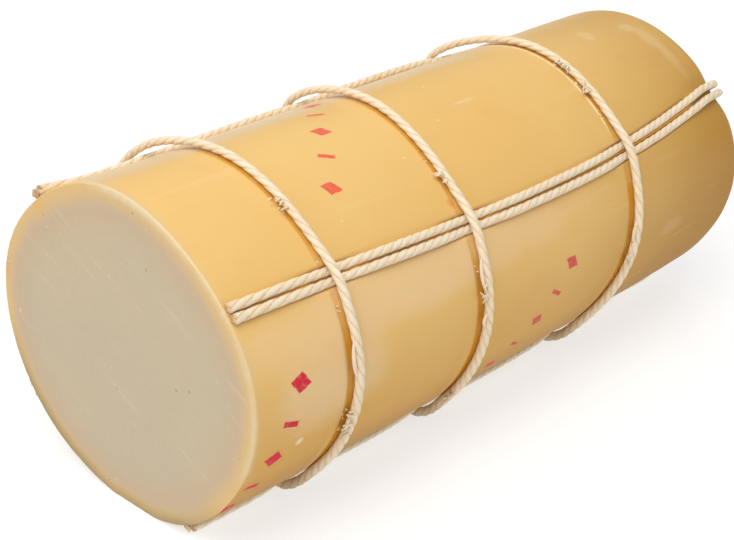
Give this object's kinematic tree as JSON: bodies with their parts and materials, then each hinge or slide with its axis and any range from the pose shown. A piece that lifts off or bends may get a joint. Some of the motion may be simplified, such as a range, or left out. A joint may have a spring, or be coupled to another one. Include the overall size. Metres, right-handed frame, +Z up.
{
  "type": "provolone dolce cheese",
  "caption": "Cylindrical provolone dolce lying on its side, cut flat at one end and rounded at the other, tied with hoops and paired lengthwise twines",
  "frame": {"origin": "on the table under the middle of the bounding box", "axes": "+X runs along the cheese from its cut face to its rounded end, +Z up; the side with the paired twines that shows in the picture faces -Y"},
  "size_m": [0.3798, 0.188, 0.1667],
  "materials": {
    "cheese": "satin waxy yellow rind, matt ivory cut face",
    "twine": "matt cream twisted fibre"
  },
  "bodies": {
    "root": {"cheese": "cheese", "twine_hoop_1": "twine", "twine_hoop_2": "twine", "twine_hoop_3": "twine", "twine_front_back_1": "twine", "twine_front_back_2": "twine", "twine_top_under_1": "twine", "twine_top_under_2": "twine"}
  },
  "joints": []
}
